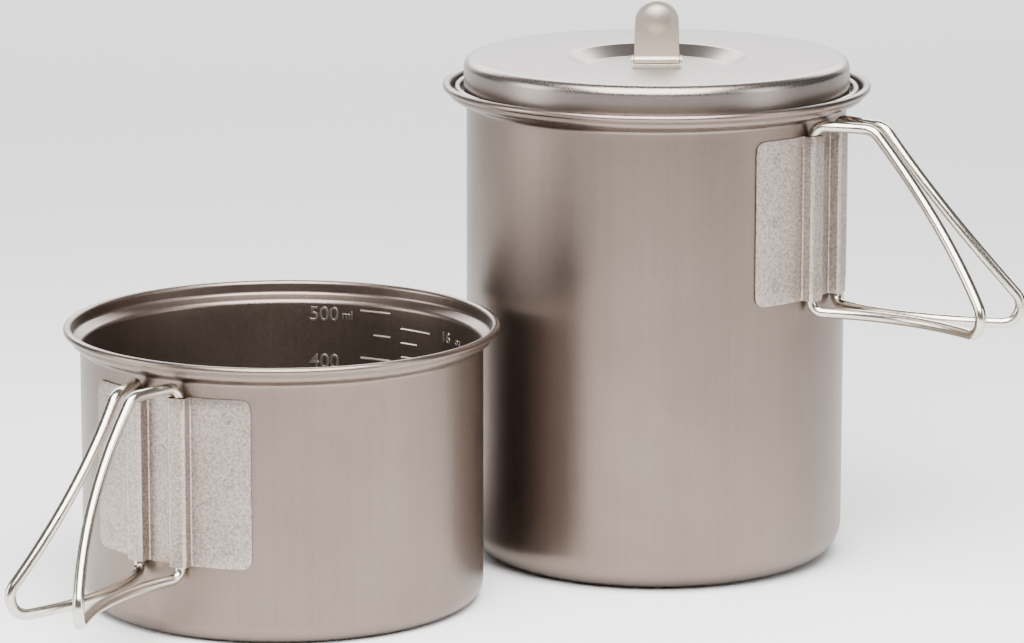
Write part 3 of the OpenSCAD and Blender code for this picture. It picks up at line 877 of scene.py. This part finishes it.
def turned_ring(name, outer_r, inner_r, length, edge_r, place):
    """A ring turned about X, with rounded outer edges."""
    steps, half = RING_STEPS, length / 2
    outline = [(-half, inner_r), (half, inner_r), (half, outer_r - edge_r)]
    outline += [(half - edge_r + edge_r * math.sin(a), outer_r - edge_r + edge_r * math.cos(a))
                for a in [math.pi / 2 * (1 - i / 5) for i in range(1, 6)]]
    outline += [(-half + edge_r - edge_r * math.sin(a), outer_r - edge_r + edge_r * math.cos(a))
                for a in [math.pi / 2 * i / 5 for i in range(6)]]
    points = [
        place @ Vector((x, r * math.cos(2 * math.pi * k / steps), r * math.sin(2 * math.pi * k / steps)))
        for x, r in outline for k in range(steps)
    ]
    count = len(outline)
    faces = [
        (i * steps + k, after * steps + k, after * steps + m, i * steps + m)
        for i in range(count) for after in [(i + 1) % count]
        for k in range(steps) for m in [(k + 1) % steps]
    ]
    return new_piece(name, points, faces)


knuckle = turned_ring("tab_knuckle", KNUCKLE_R, PIN_R + PIN_PLAY, TAB_W, KNUCKLE_EDGE_R, tab_place)
for piece in (tab, knuckle):
    piece.data.materials.append(tab_titanium)
    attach(piece, "lid_tab")
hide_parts("lid_tab")
print("tab", len(tab.data.polygons), "faces")

# %% [markdown]
# ## The hinge clip and its pin
# These small parts already have their true shape in the frame. A copy of each is merged into
# whole faces and its edges are broken with a bevel, because no real edge is perfectly sharp.


# %% Bevelled copies of two frame nodes
def bevelled_copy(node, name, width):
    mesh = frame["nodes"][node].data.copy()
    work = bmesh.new()
    work.from_mesh(mesh)
    bmesh.ops.remove_doubles(work, verts=work.verts, dist=1e-6)
    bmesh.ops.dissolve_limit(work, angle_limit=math.radians(1), verts=work.verts, edges=work.edges)
    work.to_mesh(mesh)
    work.free()
    mesh.materials.clear()
    piece = bpy.data.objects.new(name, mesh)
    bpy.context.scene.collection.objects.link(piece)
    break_edges(piece, width, 2)
    return settle(piece)


for node, name, metal_used, body, slot in (
    ("tab_clip", "tab_hinge_clip", tab_titanium, "lid", "tab_metal"),
    ("tab_pin", "tab_hinge_pin", wire_steel, "lid", "steel_wire"),
):
    piece = bevelled_copy(node, name, CLIP_EDGE_BREAK)
    piece.data.materials.append(metal_used)
    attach(piece, body)
    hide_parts(node)
    print(name, len(piece.data.polygons), "faces")

# %% Two small weld marks on the clip's plate
CLIP_WELD_R, CLIP_WELD_PROUD = 0.8 * MM, 0.04 * MM
plate_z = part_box("clip_spot_welds")[1].z - CLIP_WELD_PROUD - hinge_at.z
clip_mark = make_weld_mark("clip_weld_mark", CLIP_WELD_R, CLIP_WELD_PROUD)
spots = [tab_place @ Vector((s * TAB_W / 4, 0, plate_z)) for s in (-1, 1)]
clip_welds = point_piece("clip_weld_marks", spots, [Vector((0, 0, 1))] * 2)
grow(clip_welds, marks_tree, {"Mark": clip_mark, "Metal": weld_titanium})
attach(clip_welds, "lid")
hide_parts("clip_spot_welds")
print("clip welds", len(clip_welds.data.polygons), "faces")

# %% [markdown]
# ## Measuring marks inside the short pot
# The short pot doubles as a measuring cup. Two ladders of raised lines are pressed into its
# wall, one every 50 millilitres and one every fluid ounce, with numbers beside the long lines.
# A tree makes a ladder from its pitch and count and wraps it round the inside of the wall.

# %% Tree: a ladder of raised lines, wrapped round the inside of a wall
ladder_tree, source, result = new_group(
    "measuring ladder", "GeometryNodeTree",
    [("Seed", GEOMETRY, None), ("Count", INTEGER, 10), ("Pitch", FLOAT, 0.006),
     ("Long line", FLOAT, 0.008), ("Short line", FLOAT, 0.005), ("Every", INTEGER, 2),
     ("Line radius", FLOAT, 0.0003), ("Wall radius", FLOAT, 0.05), ("Start turn", FLOAT, 0.0),
     ("Direction", FLOAT, 1.0), ("Foot", VECTOR, (0, 0, 0)), ("Metal", MATERIAL, None)],
    [("Geometry", GEOMETRY, None)],
)
climb = add(ladder_tree, "ShaderNodeCombineXYZ", {"Z": source["Pitch"]})
rungs = add(ladder_tree, "GeometryNodeMeshLine", {"Count": source["Count"], "Offset": climb.outputs[0]})
number = add(ladder_tree, "GeometryNodeInputIndex").outputs[0]
remainder = math_node(ladder_tree, "MODULO", number, source["Every"])
is_short = math_node(ladder_tree, "GREATER_THAN", remainder, 0.5)
length = add(ladder_tree, "ShaderNodeMix", {
    0: is_short, 2: source["Long line"], 3: source["Short line"],
}, data_type="FLOAT")
stretch = add(ladder_tree, "ShaderNodeCombineXYZ", {"X": length.outputs[0], "Y": 1.0, "Z": 1.0})
unit_line = add(ladder_tree, "GeometryNodeCurvePrimitiveLine", {"Start": (0, 0, 0), "End": (1, 0, 0)})
lines = add(ladder_tree, "GeometryNodeInstanceOnPoints", {
    "Points": rungs.outputs[0], "Instance": unit_line.outputs[0], "Scale": stretch.outputs[0],
})
loose = add(ladder_tree, "GeometryNodeRealizeInstances", {"Geometry": lines.outputs[0]})
smooth = add(ladder_tree, "GeometryNodeResampleCurve", {"Curve": loose.outputs[0], "Count": 9}, mode="COUNT")
flat = position_parts(ladder_tree)
turn = math_node(ladder_tree, "DIVIDE", flat["X"], source["Wall radius"])
turn = math_node(ladder_tree, "MULTIPLY", turn, source["Direction"])
turn = math_node(ladder_tree, "ADD", turn, source["Start turn"])
x = math_node(ladder_tree, "MULTIPLY", wave(ladder_tree, "COSINE", turn), source["Wall radius"])
y = math_node(ladder_tree, "MULTIPLY", wave(ladder_tree, "SINE", turn), source["Wall radius"])
on_wall = add(ladder_tree, "ShaderNodeCombineXYZ", {"X": x, "Y": y, "Z": flat["Z"]})
placed = add(ladder_tree, "ShaderNodeVectorMath", {
    0: on_wall.outputs[0], 1: source["Foot"],
}, operation="ADD")
wrapped = move_points(ladder_tree, smooth.outputs[0], placed.outputs[0])
raised = sweep(ladder_tree, wrapped, source["Line radius"], 10)
finish_tree(ladder_tree, raised, source["Metal"], result)

# %% Both ladders
ML_PITCH, ML_TOP, ML_COUNT = 6.3 * MM, 63.9 * MM, 9
OZ_PITCH, OZ_TOP, OZ_COUNT = 3.73 * MM, 60.3 * MM, 15
LINE_R = 0.36 * MM
LINE_SUNK = 0.35 * LINE_R
bore_r = short_r - SHEET_T
# Name, lines, pitch, top, every, long and short line in mm, start in degrees, direction.
ladders = (
    ("millilitre_lines", ML_COUNT, ML_PITCH, ML_TOP, 2, 8.9, 5.1, 91.6, 1.0),
    ("ounce_lines", OZ_COUNT, OZ_PITCH, OZ_TOP, 2, 10.2, 5.4, 87.7, -1.0),
)
for name, count, pitch, top, every, long_l, short_l, start, direction in ladders:
    ladder = point_piece(name, [], [])
    grow(ladder, ladder_tree, {
        "Count": count, "Pitch": pitch, "Long line": long_l * MM, "Short line": short_l * MM,
        "Every": every, "Line radius": LINE_R, "Wall radius": bore_r + LINE_SUNK,
        "Start turn": math.radians(start), "Direction": direction,
        "Foot": short_axis + Vector((0, 0, top - (count - 1) * pitch)), "Metal": painted_highlight_mark_titanium,
    })
    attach(ladder, "short_pot")
    print(name, count, "lines")


# %% Numbers beside the long lines
def raised_text(words, size, turn_degrees, height):
    """Raised letters on the inside of the short pot's wall, whose right end is at that turn."""
    curve = bpy.data.curves.new("number", "FONT")
    curve.body, curve.size, curve.align_x, curve.align_y = words, size, "RIGHT", "CENTER"
    curve.extrude, curve.bevel_depth, curve.offset = 0.10 * MM, 0.05 * MM, 0.02 * MM
    text = bpy.data.objects.new("number", curve)
    bpy.context.scene.collection.objects.link(text)
    mesh = bpy.data.meshes.new_from_object(text.evaluated_get(bpy.context.evaluated_depsgraph_get()))
    bpy.data.objects.remove(text)
    for point in mesh.vertices:
        turn = math.radians(turn_degrees) - point.co.x / bore_r
        radius = bore_r - point.co.z
        point.co = short_axis + at_turn(radius, turn).to_3d() + Vector((0, 0, height + point.co.y))
    return mesh


# Words, letter size in mm, turn in degrees, height.
numbers = [(str(500 - 100 * i), 5.3, 108.5, ML_TOP - 2 * i * ML_PITCH - 1.6 * MM) for i in range(5)]
numbers += [("ml", 3.2, 104.0, ML_TOP - 1.6 * MM)]
numbers += [(str(16 - 4 * i), 4.0, 66.5, OZ_TOP - 4 * i * OZ_PITCH) for i in range(4)]
numbers += [("oz", 3.0, 60.5, OZ_TOP)]
merged = bmesh.new()
for words, size, turn_degrees, height in numbers:
    made = raised_text(words, size * MM, turn_degrees, height)
    merged.from_mesh(made)
    bpy.data.meshes.remove(made)
bmesh.ops.remove_doubles(merged, verts=merged.verts, dist=1e-6)
number_mesh = bpy.data.meshes.new("pot_numbers")
merged.to_mesh(number_mesh)
merged.free()
shade(number_mesh)
# The numbers are painted lighter than the wall, the same painted highlight as the lines.
number_mesh.materials.append(painted_highlight_mark_titanium)
pot_numbers = bpy.data.objects.new("pot_numbers", number_mesh)
bpy.context.scene.collection.objects.link(pot_numbers)
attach(pot_numbers, "short_pot")
print("numbers", len(number_mesh.polygons), "faces")

# %% [markdown]
# ## Floor and light
# A pale floor carries light up into the lower walls, and large soft panels give satin metal
# something even to reflect: a small one above, a wide one behind for the lid's top, one that
# lights the floor behind the set, and a dim one each side.

# %% Floor
FLOOR_HALF = 6.0
floor_mesh = bpy.data.meshes.new("floor")
floor_corners = [(x * FLOOR_HALF, y * FLOOR_HALF, 0) for x, y in ((-1, -1), (1, -1), (1, 1), (-1, 1))]
floor_mesh.from_pydata(floor_corners, [], [(0, 1, 2, 3)])
floor = bpy.data.objects.new("floor", floor_mesh)
floor.location.z = cad_box[0].z - 0.02 * MM
bpy.context.scene.collection.objects.link(floor)
paper = bpy.data.materials.new("pale floor")
paper.use_nodes = True
paper.node_tree.nodes["Principled BSDF"].inputs["Base Color"].default_value = (0.90, 0.90, 0.90, 1)
paper.node_tree.nodes["Principled BSDF"].inputs["Roughness"].default_value = 0.8
floor_mesh.materials.append(paper)


# %% Light
def softbox(name, place, aim, width, height, power, colour=(1, 1, 1)):
    light = bpy.data.lights.new(name, "AREA")
    light.shape, light.size, light.size_y = "RECTANGLE", width, height
    light.energy, light.color = power, colour
    lamp = bpy.data.objects.new(name, light)
    lamp.location = place
    lamp.rotation_euler = (Vector(place) - Vector(aim)).to_track_quat("Z", "Y").to_euler()
    lamp.visible_camera = False
    bpy.context.scene.collection.objects.link(lamp)


SET_FACES = 33.5


def round_the_set(turn_degrees, distance, height):
    """A place round the middle of the set. Turn 0 is where the camera stands, and 90 is to its right."""
    turn = math.radians(-90 + SET_FACES + turn_degrees)
    middle = (cad_box[0] + cad_box[1]) / 2
    return (middle.x + distance * math.cos(turn), middle.y + distance * math.sin(turn), height)


middle = (0.0, -0.06, 0.06)
softbox("over", round_the_set(0, 0.22, 0.46), middle, 0.5, 0.5, 14)
softbox("behind", round_the_set(180, 2.4, 0.9), middle, 4.0, 1.6, 42, (0.90, 0.95, 1.0))
softbox("backdrop", round_the_set(180, 2.4, 1.3), round_the_set(180, 1.6, 0.0), 3.5, 1.2, 95)
softbox("left", round_the_set(-82, 1.4, 0.40), middle, 0.6, 0.9, 14)
softbox("right", round_the_set(66, 1.4, 0.45), middle, 0.5, 0.9, 8)
world = bpy.data.worlds.new("studio")
world.use_nodes = True
world.node_tree.nodes["Background"].inputs["Color"].default_value = (1.0, 0.99, 0.98, 1)
world.node_tree.nodes["Background"].inputs["Strength"].default_value = 0.16
bpy.context.scene.world = world
